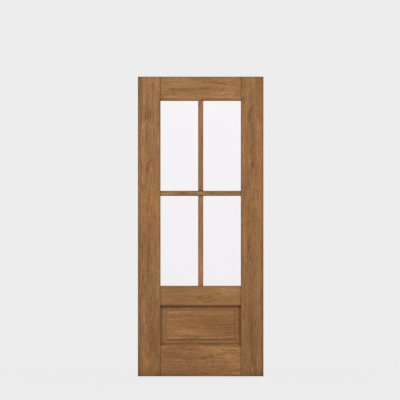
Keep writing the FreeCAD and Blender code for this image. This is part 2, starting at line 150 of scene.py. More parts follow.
BOARDS = (
    Board("hinge_stile", "upright", Face(LEAF.left, STILE_INNER, LEAF.foot, LEAF.head), (4.47, 1.01, 2.53),
          shade=-0.15, arris=Face(0.6, 0.7, 0.0, 0.6), marks=(
              Mark(0.023, 1.950, 0.009, 0.045, 0.8),
              Mark(0.022, 1.810, 0.009, 0.130, 0.8),
              Mark(0.040, 1.860, 0.009, 0.070, -0.7),
              Mark(0.128, 1.930, 0.012, 0.040, -0.5),
              Mark(0.092, 1.740, 0.036, 0.060, 0.5),
              Mark(0.110, 1.605, 0.007, 0.045, 0.5),
              Mark(0.040, 1.645, 0.010, 0.055, -1.0),
              Mark(0.036, 1.500, 0.009, 0.220, -0.4),
              Mark(0.066, 1.500, 0.020, 0.220, -0.1),
              Mark(0.057, 1.550, 0.007, 0.050, 1.2),
              Mark(0.064, 1.402, 0.008, 0.022, 1.7),
              Mark(0.059, 1.366, 0.009, 0.020, 2.0),
              Mark(0.031, 1.255, 0.009, 0.028, 0.6),
              Mark(0.118, 1.175, 0.020, 0.100, -0.4),
              Mark(0.110, 1.052, 0.007, 0.022, 0.8),
              Mark(0.071, 0.825, 0.012, 0.080, 0.5),
              Mark(0.030, 0.880, 0.040, 0.200, 0.4),
              Mark(0.037, 0.372, 0.012, 0.036, -0.9),
              Mark(0.097, 0.256, 0.030, 0.085, 0.7),
              Mark(0.083, 0.207, 0.008, 0.022, 0.7),
              Mark(0.072, 0.090, 0.070, 0.085, 0.25),
              Mark(0.138, 0.090, 0.010, 0.090, 0.2),
              Mark(0.113, 0.830, 0.014, 0.060, 0.6),
              Mark(0.128, 0.890, 0.020, 0.250, 0.5),
              Mark(0.036, 0.890, 0.012, 0.250, -0.4),
              Mark(0.022, 0.530, 0.008, 0.060, 0.7),
              Mark(0.004, 0.100, 0.024, 0.120, 1.3),
          )),
    Board("lock_stile", "upright", Face(RAIL_END, LEAF.right, LEAF.foot, LEAF.head), (13.18, 4.64, 7.62),
          shade=-0.4, figure=1.1, stretch=(1.0, 1.35), arris=Face(0.7, 0.45, 0.0, 0.6), marks=(
              Mark(0.703, 1.900, 0.007, 0.070, 0.8),
              Mark(0.751, 1.878, 0.012, 0.055, 0.3),
              Mark(0.777, 1.850, 0.007, 0.090, 0.2),
              Mark(0.748, 1.764, 0.008, 0.026, 1.7),
              Mark(0.734, 1.720, 0.009, 0.036, 1.3),
              Mark(0.797, 1.628, 0.010, 0.070, -1.2),
              Mark(0.760, 1.610, 0.008, 0.055, 0.5),
              Mark(0.697, 1.500, 0.009, 0.260, -0.3),
              Mark(0.758, 1.490, 0.014, 0.200, 0.7),
              Mark(0.760, 1.396, 0.008, 0.028, 1.7),
              Mark(0.804, 1.116, 0.011, 0.110, -0.4),
              Mark(0.750, 1.080, 0.034, 0.080, 0.4),
              Mark(0.708, 0.880, 0.012, 0.220, -0.7),
              Mark(0.737, 0.790, 0.010, 0.120, 0.3),
              Mark(0.810, 0.880, 0.024, 0.260, 0.6),
              Mark(0.747, 0.340, 0.038, 0.170, 0.35),
              Mark(0.777, 0.349, 0.008, 0.030, 1.6),
              Mark(0.744, 0.286, 0.012, 0.100, 0.4),
              Mark(0.797, 0.175, 0.010, 0.120, -0.5),
              Mark(0.755, 0.130, 0.006, 0.032, 1.2),
              Mark(0.776, 0.098, 0.006, 0.034, 1.2),
              Mark(0.762, 0.088, 0.008, 0.026, 1.0),
              Mark(0.704, 0.100, 0.008, 0.100, 0.3),
              Mark(0.755, 0.240, 0.060, 0.260, 0.65),
              Mark(0.815, 0.500, 0.012, 0.260, 0.5),
              Mark(0.828, 0.360, 0.010, 0.520, 1.2),
              Mark(0.684, 0.880, 0.006, 0.250, 0.7),
              Mark(0.705, 0.310, 0.010, 0.080, 0.5),
              Mark(0.785, 0.100, 0.012, 0.060, -0.6),
              Mark(0.783, 0.485, 0.018, 0.050, 0.6),
          )),
    Board("top_rail", "level", Face(STILE_INNER, RAIL_END, GLASS_HEAD, LEAF.head), (15.41, 6.93, 3.39),
          shade=-0.05, stretch=(0.65, 1.0), arris=Face(0.6, 0.2, 0.55, 0.6), marks=(
              Mark(0.230, 1.887, 0.022, 0.014, 0.8),
              Mark(0.300, 1.892, 0.150, 0.012, 0.8),
              Mark(0.442, 1.904, 0.042, 0.009, 1.4),
              Mark(0.410, 1.847, 0.055, 0.005, 1.0),
              Mark(0.270, 1.957, 0.100, 0.016, -0.6),
              Mark(0.578, 1.871, 0.080, 0.011, -0.6),
              Mark(0.614, 1.940, 0.060, 0.015, 0.4),
              Mark(0.643, 1.897, 0.022, 0.011, 0.3),
              Mark(0.610, 1.890, 0.070, 0.070, -0.6),
              Mark(0.480, 1.945, 0.080, 0.022, 0.5),
              # The next mark is a dark line along the rail's lower edge, painted shade at its arris.
              Mark(0.415, 1.830, 0.600, 0.006, 1.6),
          )),
    Board("lock_rail", "level", Face(STILE_INNER, RAIL_END, LOCK_RAIL_LOW, GLASS_FOOT), (15.9, 7.3, 2.8),
          shade=-0.15, figure=0.8, stretch=(1.4, 1.9), arris=Face(0.45, 0.55, 0.0, 0.6), marks=(
              Mark(0.410, 0.523, 0.018, 0.009, 0.9),
              Mark(0.528, 0.548, 0.018, 0.008, 1.1),
              Mark(0.610, 0.535, 0.090, 0.060, -0.8),
              Mark(0.560, 0.582, 0.120, 0.016, -0.8),
              Mark(0.240, 0.535, 0.110, 0.060, 0.5),
          )),
    Board("bottom_rail", "level", Face(STILE_INNER, RAIL_END, LEAF.foot, BOTTOM_RAIL_TOP), (21.7, 1.3, 6.1),
          shade=-0.3, stretch=(0.75, 0.8), arris=Face(0.55, 0.55, 0.0, 0.1), marks=(
              Mark(0.375, 0.176, 0.085, 0.007, 0.7),
              Mark(0.475, 0.161, 0.055, 0.007, 0.8),
              Mark(0.205, 0.140, 0.055, 0.010, 0.5),
              Mark(0.435, 0.126, 0.040, 0.010, 0.5),
              Mark(0.340, 0.040, 0.090, 0.020, 0.5),
              Mark(0.610, 0.120, 0.100, 0.090, -1.0),
              Mark(0.560, 0.186, 0.120, 0.014, -0.7),
              Mark(0.270, 0.150, 0.130, 0.030, 0.7),
              Mark(0.560, 0.055, 0.120, 0.022, 0.7),
          )),
    Board("cross_bar", "level", Face(STILE_INNER, RAIL_END, BAR_LOW, BAR_HIGH), (36.69, 8.17, 9.11),
          shade=-0.4, arris=Face(0.5, 0.5, 0.7, 0.6), marks=(
              Mark(0.290, 1.207, 0.034, 0.007, 1.1),
              Mark(0.200, 1.210, 0.045, 0.012, -0.7),
              Mark(0.350, 1.212, 0.025, 0.010, -0.6),
              Mark(0.415, 1.2095, 0.013, 0.013, -1.0),
          )),
    Board("upper_bar", "upright", Face(BAR_LEFT, BAR_RIGHT, BAR_HIGH, GLASS_HEAD), (36.78, 9.14, 8.52),
          shade=0.05, arris=Face(0.5, 0.6, 1.5, 0.6), marks=(
              Mark(0.426, 1.560, 0.006, 0.045, 1.2),
              Mark(0.411, 1.460, 0.007, 0.060, 0.7),
          )),
    Board("lower_bar", "upright", Face(BAR_LEFT, BAR_RIGHT, GLASS_FOOT, BAR_LOW), (47.49, 13.07, 6.91),
          shade=0.75, hue=(0.4, -0.4), arris=Face(0.5, 0.6, 0.6, 1.2), marks=(
              Mark(0.406, 0.860, 0.008, 0.030, 0.8),
          )),
)
PANEL = Board("raised_panel", "level", PANEL_OPENING, (50.15, 12.45, 11.75), shade=0.3, figure=0.9,
              stretch=(0.6, 1.0), hue=(0.6, -0.1), arris=Face(0.6, 0.9, 0.55, 0.25), marks=(
                  Mark(0.580, 0.340, 0.170, 0.110, 0.8),
                  Mark(0.400, 0.360, 0.180, 0.026, 0.5),
                  Mark(0.280, 0.426, 0.110, 0.009, -0.5),
                  Mark(0.415, 0.424, 0.230, 0.006, 0.45),
                  Mark(0.420, 0.262, 0.220, 0.018, -0.6),
                  Mark(0.405, 0.396, 0.100, 0.004, 0.7),
                  Mark(0.575, 0.342, 0.100, 0.004, 0.8),
                  Mark(0.480, 0.376, 0.040, 0.004, 0.6),
                  Mark(0.330, 0.302, 0.085, 0.010, -0.8),
              ))
STRIPS = (
    Board("strip_foot", "level", PANEL_OPENING, (68.75, 6.15, 6.45), shade=-0.1, figure=0.8,
          hue=(-0.9, 0.0), rims=(0.35, 0.25)),
    Board("strip_right", "upright", PANEL_OPENING, (71.21, 10.13, 8.39), shade=-0.3, figure=0.8,
          rims=(0.10, 0.40)),
    # Part of the head strip's deep shade value is painted shadow under the lock rail; the rest is its darker
    # stain.
    Board("strip_head", "level", PANEL_OPENING, (83.63, 12.19, 16.57), shade=-1.5, figure=0.8,
          rims=(0.35, 0.0)),
    Board("strip_left", "upright", PANEL_OPENING, (79.7, 1.9, 4.7), shade=-0.55, figure=0.8,
          hue=(-0.8, 0.0), rims=(0.35, 0.40)),
)
UPRIGHT_BEAD_CUT = (51.3, 2.7, 8.1)
LEVEL_BEAD_CUT = (57.7, 4.9, 3.7)
BEAD_SHADE = 0.1

# The grain's streaks from the widest to the thinnest, each with its share of the figure. After them come
# the flecks and the two slow changes of hue.
STREAKS = {
    "broad": (Layer((1.1, 5.0, 8.5), detail=1.0), 0.50),
    "wide": (Layer((5.0, 25.0, 42.0)), 0.38),
    "streak": (Layer((12.0, 90.0, 160.0), warp=0.3), 0.68),
    "fine": (Layer((70.0, 200.0, 300.0)), 0.88),
    "hair": (Layer((60.0, 800.0, 1300.0), detail=1.0, swing=5.0), 0.18),
}
FLECKS = Layer((16.0, 110.0, 190.0), detail=1.0, shift=(5.7, 2.3, 9.9))
ORANGE = Layer((3.0, 20.0, 34.0), detail=3.0, shift=(3.3, 1.7, 2.9))
OLIVE = Layer((4.0, 30.0, 52.0), detail=3.0, shift=(8.1, 4.4, 6.2))
GRAIN_GROUP = "stained_grain"

# Lines on the boards, in metres from the edge that each follows. Along the arrises they are painted shade,
# and dark joints where boards meet; the leaf-edge line darkens the leaf along its outer edges; in the
# panel's margin and at the strips' rims they are painted shade, and on the margin's head and the field's
# arris they are painted light. The mitre and bead lines are dark joints.
ARRIS_START, ARRIS_STOP = 0.002, 0.0095
LEAF_EDGE = Line(0.0, 0.032, 0.32)
# The two foot lines make the boards darker towards the foot of the leaf.
FOOT_EDGE = Line(0.0, 0.020, 0.35)
FOOT_DARKENING = Line(0.0, 0.070, 0.60)
MARGIN_START, MARGIN_STOP = STRIP_OUTER - 0.003, STRIP_OUTER + 0.001
MARGIN_HEAD_LIGHT = Line(0.003, 0.009, -0.9)
FIELD_ARRIS_INSET = STRIP_INNER + 0.0045
FIELD_ARRIS_LIGHT = Line(0.001, 0.0040, -0.34)
STRIP_MITRE = Line(0.0, 0.003, 0.7)
STRIP_OUTER_REACH = 0.004
STRIP_INNER_REACH = 0.014
BEAD_RIM = Line(0.0003, 0.0012, 0.7)
BEAD_MITRE = Line(0.0002, 0.0010, 0.6)


def shown(red, green, blue):
    """The linear colour that the screen shows as these values of 0 to 255, by the usual screen curve."""
    level = np.array((red, green, blue), float) / 255.0
    linear = np.where(level <= 0.04045, level / 12.92, ((level + 0.055) / 1.055) ** 2.4)
    return tuple(linear.tolist())


def shaded(colour, share):
    """A colour made darker or brighter by a share."""
    return tuple(min(1.0, share * value) for value in colour)


class Wiring:
    """Adds nodes to one node tree. A socket given as a value is linked, and anything else is set."""

    def __init__(self, tree):
        self.tree = tree

    def feed(self, node, values):
        """Links or sets inputs of a node, by name or number. A colour is given as red, green and blue."""
        for key, value in values.items():
            socket = node.inputs[key]
            if isinstance(value, NodeSocket):
                self.tree.links.new(value, socket)
            elif socket.type == "RGBA":
                socket.default_value = (*value, 1.0)
            else:
                socket.default_value = value

    def node(self, kind, values=None, **settings):
        made = self.tree.nodes.new(kind)
        for name, setting in settings.items():
            setattr(made, name, setting)
        self.feed(made, values or {})
        return made

    def where(self, output="Object"):
        return self.node("ShaderNodeTexCoord").outputs[output]

    def math(self, operation, *values, clamp=False):
        made = self.node("ShaderNodeMath", dict(enumerate(values)), operation=operation, use_clamp=clamp)
        return made.outputs[0]

    def plus(self, *values):
        return reduce(partial(self.math, "ADD"), values)

    def times(self, *values):
        return reduce(partial(self.math, "MULTIPLY"), values)

    def least(self, *values):
        return reduce(partial(self.math, "MINIMUM"), values)

    def most(self, *values):
        return reduce(partial(self.math, "MAXIMUM"), values)

    def minus(self, first, second):
        return self.math("SUBTRACT", first, second)

    def apart(self, first, second):
        """How far two values lie apart."""
        return self.math("ABSOLUTE", self.minus(first, second))

    def weighted(self, *pairs):
        """The sum of values, each times its weight."""
        return self.plus(*(self.times(value, weight) for value, weight in pairs))

    def vector(self, operation, *values):
        made = self.node("ShaderNodeVectorMath", dict(enumerate(values)), operation=operation)
        return made.outputs["Value" if operation in ("LENGTH", "DOT_PRODUCT") else "Vector"]

    def scaled(self, vector, factor):
        made = self.node("ShaderNodeVectorMath", {"Vector": vector, "Scale": factor}, operation="SCALE")
        return made.outputs["Vector"]

    def parts(self, vector):
        return tuple(self.node("ShaderNodeSeparateXYZ", {0: vector}).outputs)

    def joined(self, x, y, z):
        return self.node("ShaderNodeCombineXYZ", {0: x, 1: y, 2: z}).outputs[0]

    def noise(self, place, waves, detail=2.0, warp=0.0, output="Fac"):
        """Soft noise with so many waves a metre along each direction."""
        stretched = self.vector("MULTIPLY", place, waves)
        values = {"Vector": stretched, "Scale": 1.0, "Detail": detail, "Distortion": warp}
        return self.node("ShaderNodeTexNoise", values).outputs[output]

    def step(self, value, low, high, low_out=0.0, high_out=1.0):
        """A smooth step from low_out to high_out as the value goes from low to high."""
        values = {"Value": value, "From Min": low, "From Max": high, "To Min": low_out, "To Max": high_out}
        return self.node("ShaderNodeMapRange", values, interpolation_type="SMOOTHSTEP").outputs["Result"]

    def spread(self, noise, low_out=0.0, high_out=1.0):
        """The usual swing of a noise, taken smoothly from low_out to high_out."""
        return self.step(noise, 0.3, 0.7, low_out, high_out)

    def line(self, distance, line):
        """How dark a line is at a distance from its edge."""
        return self.step(distance, line.start, line.stop, line.depth, 0.0)

    def mixed(self, factor, first, second):
        return self.node("ShaderNodeMix", {0: factor, 6: first, 7: second}, data_type="RGBA").outputs[2]

    def ramp(self, value, stops):
        """The colour at a value, between stops that are given by their places from 0 to 1."""
        made = self.node("ShaderNodeValToRGB", {"Fac": value})
        elements = made.color_ramp.elements
        while len(elements) < len(stops):
            elements.new(0.5)
        for element, (place, colour) in zip(elements, stops.items()):
            element.position = place
            element.color = (*colour, 1.0)
        return made.outputs["Color"]

    def bump(self, height, strength, distance):
        values = {"Height": height, "Strength": strength, "Distance": distance}
        return self.node("ShaderNodeBump", values).outputs[0]

    def mix_shader(self, factor, first, second):
        return self.node("ShaderNodeMixShader", {0: factor, 1: first, 2: second}).outputs[0]


def new_material(name):
    """An empty material with a Principled shader on its output."""
    material = bpy.data.materials.new(name)
    material.use_nodes = True
    material.node_tree.nodes.clear()
    wiring = Wiring(material.node_tree)
    shader = wiring.node("ShaderNodeBsdfPrincipled")
    output = wiring.node("ShaderNodeOutputMaterial", {"Surface": shader.outputs[0]})
    return material, wiring, shader, output


def dress(node, material):
    """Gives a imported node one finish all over."""
    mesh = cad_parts[node].data
    mesh.materials.clear()
    mesh.materials.append(material)


def layer_noise(wiring, place, layer):
    """One layer of the grain, from 0 to 1."""
    moved = wiring.vector("ADD", place, layer.shift)
    return wiring.noise(moved, layer.waves, layer.detail, layer.warp)


def layer_swing(wiring, place, layer):
    """One layer of the grain, swinging about nought."""
    return wiring.times(wiring.minus(layer_noise(wiring, place, layer), 0.5), layer.swing)


def late_wood(wiring, place, spacing):
    """Dark bands of the yearly rings. A ring is a circle round a pith behind the face, and its dark band
    grows slowly and ends sharply. Slow noise along each ring makes it fade and come back."""
    pith_depth = 0.055
    rings_gained = 1.4
    band_start = 0.35
    band_full = 0.9
    fade_waves = (0.73, 1.0, 2.0)
    fade_slice = 0.3
    along, through, across = wiring.parts(place)
    radius = wiring.vector("LENGTH", wiring.joined(0.0, wiring.plus(through, pith_depth), across))
    turn = wiring.plus(wiring.math("DIVIDE", radius, spacing), wiring.times(along, rings_gained))
    ring = wiring.math("FRACT", turn)
    growing = wiring.step(ring, band_start, band_full)
    ending = wiring.step(ring, band_full, 1.0, 1.0, 0.0)
    fade = wiring.noise(wiring.joined(wiring.math("FLOOR", turn), fade_slice, along), fade_waves)
    return wiring.times(growing, ending, wiring.step(fade, 0.35, 0.7))


def pore_cells(wiring, place):
    """Short pores: the middles of cells that are drawn out along the grain."""
    waves = (42.0, 420.0, 640.0)
    core, rim = 0.12, 0.34
    stretched = wiring.vector("MULTIPLY", place, waves)
    cell = wiring.node("ShaderNodeTexVoronoi", {"Vector": stretched, "Scale": 1.0})
    return wiring.step(cell.outputs["Distance"], core, rim, 1.0, 0.0)


def grain_sockets(group):
    """Gives the grain group its inputs and outputs."""
    sockets = {
        "INPUT": ("Place", "End", "Mark", "Edge", "Shade", "Figure", "Orange", "Olive"),
        "OUTPUT": ("Color", "Roughness", "Height"),
    }
    kinds = {"Place": "NodeSocketVector", "Color": "NodeSocketColor"}
    for direction, names in sockets.items():
        for name in names:
            kind = kinds.get(name, "NodeSocketFloat")
            group.interface.new_socket(name=name, in_out=direction, socket_type=kind)


def grain_group(finish):
    """Node group for stained timber, made once. Slow noise bends the grain. Its figure is streaks at five
    widths, with flecks, yearly rings and pores. Two more slow noises move the hue to orange or olive."""
    group = bpy.data.node_groups.get(GRAIN_GROUP)
    if group:
        return group
    group = bpy.data.node_groups.new(GRAIN_GROUP, "ShaderNodeTree")
    grain_sockets(group)
    wiring = Wiring(group)
    given = wiring.node("NodeGroupInput").outputs

    bend_waves = (1.3, 7.0, 9.0)
    bend_reach = (0.0, 0.020, 0.030)
    slow = wiring.noise(given["Place"], bend_waves, detail=1.0, output="Color")
    bend = wiring.vector("MULTIPLY", wiring.vector("SUBTRACT", slow, (0.5, 0.5, 0.5)), bend_reach)
    place = wiring.vector("ADD", given["Place"], bend)

    streaks = {name: layer_swing(wiring, place, layer) for name, (layer, _) in STREAKS.items()}
    shares = [(streaks[name], share) for name, (_, share) in STREAKS.items()]
    fleck = wiring.step(layer_noise(wiring, place, FLECKS), 0.60, 0.78)
    late = late_wood(wiring, place, finish.ring_spacing)
    pore = pore_cells(wiring, place)

    figure_lift = 0.32
    mark_gain = -1.1
    tone_gain = 0.16
    middle_tone = 0.5
    figure = wiring.plus(wiring.weighted(*shares, (fleck, -1.9), (late, -0.8), (pore, -0.5)), figure_lift)
    fibrous = wiring.plus(1.0, wiring.weighted((streaks["streak"], 0.45), (streaks["fine"], 0.35)))
    marked = wiring.times(given["Mark"], fibrous, mark_gain)
    tone = wiring.plus(wiring.times(figure, given["Figure"]), marked, given["Shade"])
    level = wiring.math("ADD", wiring.times(tone, tone_gain), middle_tone, clamp=True)
    colour = wiring.ramp(level, {0.0: finish.deepest, 0.24: finish.dark, middle_tone: finish.middle,
                                 0.75: finish.light, 1.0: finish.palest})

    edge_gain = 0.42
    end_gain = 0.35
    orange = wiring.plus(layer_swing(wiring, place, ORANGE), given["Orange"])
    olive = wiring.plus(layer_swing(wiring, place, OLIVE), given["Olive"])
    tint = wiring.vector("ADD", wiring.scaled(finish.orange_shift, orange),
                         wiring.scaled(finish.olive_shift, olive))
    colour = wiring.vector("MULTIPLY", colour, wiring.vector("ADD", tint, (1.0, 1.0, 1.0)))
    # Edge darkens by painted shade and dark joints, and lightens by painted light where it is below nought;
    # End darkens end grain.
    edge_shade_joints_and_end_grain = wiring.times(wiring.minus(1.0, wiring.times(given["Edge"], edge_gain)),
                          wiring.minus(1.0, wiring.times(given["End"], end_gain)))

    base_roughness = 0.54
    rougher = wiring.weighted((streaks["fine"], 0.03), (pore, 0.12), (given["End"], 0.15))
    height = wiring.weighted((pore, -1.0), (streaks["hair"], 0.3), (streaks["fine"], 0.2), (late, -0.4))
    wiring.node("NodeGroupOutput", {
        "Color": wiring.scaled(colour, edge_shade_joints_and_end_grain),
        "Roughness": wiring.plus(rougher, base_roughness),
        "Height": height,
    })
    return group


def insets(wiring, spot, face):
    """How far a point lies inside each side of a face."""
    x, _, z = wiring.parts(spot)
    return Face(wiring.minus(x, face.left), wiring.minus(face.right, x),
                wiring.minus(z, face.foot), wiring.minus(face.head, z))


def side_lines(wiring, inset, depths, start, stop):
    """A dark line along each side of a face, as dark as that side's depth."""
    sides = [(distance, depth) for distance, depth in zip(inset, depths) if depth]
    return wiring.plus(*(wiring.line(distance, Line(start, stop, depth)) for distance, depth in sides))


def mitre_and_rim(wiring, spot, face):
    """How far a point lies from the mitres of a frame, and from its outer rim. On a mitre the insets from
    the nearest upright side and the nearest level side are the same."""
    inset = insets(wiring, spot, face)
    sideways = wiring.least(inset.left, inset.right)
    upwards = wiring.least(inset.foot, inset.head)
    return wiring.apart(sideways, upwards), wiring.least(sideways, upwards)


def edge_shade_and_joints(wiring, spot, board):
    """Darker colour along the edges of a board: painted shade along its arrises and dark joints where it
    meets other boards, wider along the outer edges of the leaf and darker towards its foot. The front has
    all of it, the back about a third, and the faces that look sideways very little."""
    sideways_share = 0.1
    back_share = 0.3
    slanted, square = 0.3, 0.8
    inset = insets(wiring, spot, board.face)
    leaf_inset = insets(wiring, spot, LEAF)
    worn = wiring.plus(side_lines(wiring, inset, board.arris, ARRIS_START, ARRIS_STOP),
                       wiring.line(wiring.least(leaf_inset.left, leaf_inset.right), LEAF_EDGE),
                       wiring.line(leaf_inset.foot, FOOT_EDGE), wiring.line(leaf_inset.foot, FOOT_DARKENING))
    _, facing, _ = wiring.parts(wiring.where("Normal"))
    share = wiring.plus(wiring.step(facing, -square, -slanted, 1.0, sideways_share),
                        wiring.step(facing, slanted, square, 0.0, back_share - sideways_share))
    return wiring.times(worn, share)


def margin_shade_and_light(wiring, spot, board):
    """Painted shade over the flat margin round the panel, which lies in the frame's shade. Painted light
    brightens the margin's head, in the lock rail's shadow, and round the arris of the field."""
    inset = insets(wiring, spot, board.face)
    from_arris = wiring.apart(wiring.least(*inset), FIELD_ARRIS_INSET)
    return wiring.plus(side_lines(wiring, inset, board.arris, MARGIN_START, MARGIN_STOP),
                       wiring.line(inset.head, MARGIN_HEAD_LIGHT), wiring.line(from_arris, FIELD_ARRIS_LIGHT))


def mitres_and_rim_shade(wiring, spot, board):
    """Dark lines along the mitres of the strips, and painted shade along both edges of each strip."""
    mitre, rim = mitre_and_rim(wiring, spot, board.face)
    outer, inner = board.rims
    return wiring.plus(wiring.line(mitre, STRIP_MITRE),
                       wiring.line(rim, Line(STRIP_OUTER, STRIP_OUTER + STRIP_OUTER_REACH, outer)),
                       wiring.step(rim, STRIP_INNER - STRIP_INNER_REACH, STRIP_INNER, 0.0, inner))


def bead_joints(wiring, spot, board):
    """Dark lines where the beads of one pane meet the rebate round them, and each other at the mitres."""
    mitre, rim = mitre_and_rim(wiring, spot, board.face)
    return wiring.plus(wiring.line(rim, BEAD_RIM), wiring.line(mitre, BEAD_MITRE))


def mark_depth(wiring, spot, marks):
    """All marks of a board together. Each is an oval, deepest in its middle, that fades past its reach."""
    fade = 1.6
    depth = 0.0
    for mark in marks:
        away = wiring.vector("MULTIPLY", wiring.vector("SUBTRACT", spot, (mark.x, 0.0, mark.z)),
                             (1.0 / mark.reach_x, 0.0, 1.0 / mark.reach_z))
        oval = wiring.step(wiring.vector("LENGTH", away), 0.0, fade, mark.depth, 0.0)
        depth = wiring.plus(depth, oval)
    return depth


def timber_material(finish, board, edge_rule):
    """Stained timber for one board, with its grain upright or level and its own place in the tree."""
    end_start, end_full = 0.75, 0.95
    material, wiring, shader, _ = new_material(f"stained_{board.node}")
    spot = wiring.where()
    along, across = board.stretch
    if board.grain == "upright":
        axis, turn, scale = (0.0, 0.0, 1.0), (0.0, radians(90.0), 0.0), (across, across, along)
    else:
        axis, turn, scale = (1.0, 0.0, 0.0), (0.0, 0.0, 0.0), (along, across, across)
    laid = {"Vector": spot, "Location": board.cut, "Rotation": turn, "Scale": scale}
    along_grain = wiring.math("ABSOLUTE", wiring.vector("DOT_PRODUCT", wiring.where("Normal"), axis))
    orange, olive = board.hue
    grain = wiring.node("ShaderNodeGroup", node_tree=grain_group(finish))
    wiring.feed(grain, {
        "Place": wiring.node("ShaderNodeMapping", laid).outputs[0],
        "End": wiring.step(along_grain, end_start, end_full),
        "Mark": mark_depth(wiring, spot, board.marks),
        "Edge": edge_rule(wiring, spot, board),
        "Shade": board.shade,
        "Figure": board.figure,
        "Orange": orange,
        "Olive": olive,
    })
    wiring.feed(shader, {
        "Base Color": grain.outputs["Color"],
        "Roughness": grain.outputs["Roughness"],
        "Specular IOR Level": 0.15,
        "Normal": wiring.bump(grain.outputs["Height"], strength=0.5, distance=0.00025),
    })
    return material


def glass_material(finish):
    """Clear float glass with a faint roller wave and a trace of haze. Lamp rays go straight through."""
    roller_waves = (2.0, 2.0, 5.0)
    haze_waves = (9.0, 9.0, 14.0)
    haziest = 0.03
    material, wiring, shader, output = new_material("clear_glass")
    spot = wiring.where()
    wave = wiring.noise(spot, roller_waves, detail=1.0)
    haze = wiring.noise(spot, haze_waves, detail=3.0)
    wiring.feed(shader, {
        "Base Color": finish.glass_tint,
        "Roughness": wiring.step(haze, 0.45, 0.8, 0.0, haziest),
        "Transmission Weight": 1.0,
        "IOR": 1.5,
        "Normal": wiring.bump(wave, strength=0.05, distance=0.0005),
    })
    clear = wiring.node("ShaderNodeBsdfTransparent", {"Color": finish.glass_tint})
    from_lamp = wiring.node("ShaderNodeLightPath").outputs["Is Shadow Ray"]
    wiring.feed(output, {"Surface": wiring.mix_shader(from_lamp, shader.outputs[0], clear.outputs[0])})
    return material


def spacer_material(finish):
    """Mill aluminium bar, drawn lengthwise, with a welded seam and fine vent holes down its middle. Its
    holes are dark dots of painted shade.
    """
    hole_pitch = 0.0045
    hole_core, hole_rim = 0.0003, 0.0005
    hole_shade_colour = (0.05, 0.05, 0.05)
    seam_reach, seam_depth = 0.0002, 0.4
    drawn_waves = (30.0, 900.0, 30.0)
    low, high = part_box("spacer_lower_left")
    material, wiring, shader, _ = new_material("spacer_metal")
    spot = wiring.where()
    x, y, z = wiring.parts(spot)
    drawn = wiring.noise(spot, drawn_waves)
    from_middle = wiring.apart(y, (low.y + high.y) / 2.0)
    run = wiring.math("FRACT", wiring.times(wiring.plus(x, z), 1.0 / hole_pitch))
    from_row = wiring.times(wiring.apart(run, 0.5), hole_pitch)
    from_hole = wiring.vector("LENGTH", wiring.joined(from_middle, from_row, 0.0))
    dark = wiring.most(wiring.step(from_hole, hole_core, hole_rim, 1.0, 0.0),
                       wiring.step(from_middle, 0.0, seam_reach, seam_depth, 0.0))
    dull = shaded(finish.spacer_colour, share=0.82)
    bar = wiring.mixed(wiring.spread(drawn), finish.spacer_colour, dull)
    wiring.feed(shader, {
        "Base Color": wiring.mixed(dark, bar, hole_shade_colour),
        "Metallic": 1.0,
        "Roughness": wiring.spread(drawn, 0.38, 0.5),
        "Normal": wiring.bump(wiring.minus(drawn, dark), strength=0.4, distance=0.0002),
    })
    return material


def sealant_material(finish):
    """Dark brown sealant, smoothed by hand, with faint tool marks."""
    cloud_waves = (60.0, 60.0, 60.0)
    material, wiring, shader, _ = new_material("glazing_sealant")
    cloud = wiring.noise(wiring.where(), cloud_waves, detail=3.0)
    deep = shaded(finish.sealant_colour, share=0.7)
    wiring.feed(shader, {
        "Base Color": wiring.mixed(wiring.spread(cloud), deep, finish.sealant_colour),
        "Roughness": wiring.spread(cloud, 0.42, 0.6),
        "Normal": wiring.bump(cloud, strength=0.3, distance=0.0003),
    })
    return material


def pin_material(finish):
    """Bronzed steel pin heads, a little rubbed."""
    rub_waves = (900.0, 900.0, 900.0)
    material, wiring, shader, _ = new_material("bead_pin_metal")
    rub = wiring.noise(wiring.where(), rub_waves)
    bright = shaded(finish.pin_colour, share=1.8)
    wiring.feed(shader, {
        "Base Color": wiring.mixed(wiring.step(rub, 0.5, 0.75), finish.pin_colour, bright),
        "Metallic": 1.0,
        "Roughness": wiring.spread(rub, 0.3, 0.5),
    })
    return material


def floor_material(setup, reach):
    """Pale floor that fades out to nothing at its rim. Seen directly, in gloss or through glass it shows
    mostly the backdrop's colour, and a little of the leaf's shadow."""
    fade_start = 0.7
    backdrop_share = 0.93
    material, wiring, shader, output = new_material("pale_floor")
    wiring.feed(shader, {"Base Color": setup.floor, "Roughness": 0.9, "Specular IOR Level": 0.0})
    plain = wiring.node("ShaderNodeEmission", {"Color": setup.backdrop})
    clear = wiring.node("ShaderNodeBsdfTransparent")
    path = wiring.node("ShaderNodeLightPath").outputs
    seen = wiring.most(path["Is Camera Ray"], path["Is Glossy Ray"], path["Is Transmission Ray"])
    ground = wiring.mix_shader(wiring.times(seen, backdrop_share), shader.outputs[0], plain.outputs[0])
    from_middle = wiring.vector("SUBTRACT", wiring.where(), (MIDDLE, 0.0, 0.0))
    away = wiring.vector("LENGTH", wiring.vector("MULTIPLY", from_middle, (1.0, 1.0, 0.0)))
    fade = wiring.step(away, fade_start, reach)
    wiring.feed(output, {"Surface": wiring.mix_shader(fade, ground, clear.outputs[0])})
    return material


def grid_faces(rows, columns, close_rows):
    """Four-sided faces over a grid of points numbered row by row. Each row closes on itself, and if asked
    the last row closes on the first."""
    number = np.arange(rows * columns).reshape(rows, columns)
    down = np.roll(number, -1, axis=0)
    right = np.roll(number, -1, axis=1)
    both = np.roll(down, -1, axis=1)
    faces = np.stack((number, right, both, down), axis=-1)
    kept = faces if close_rows else faces[:-1]
    return kept.reshape(-1, 4)


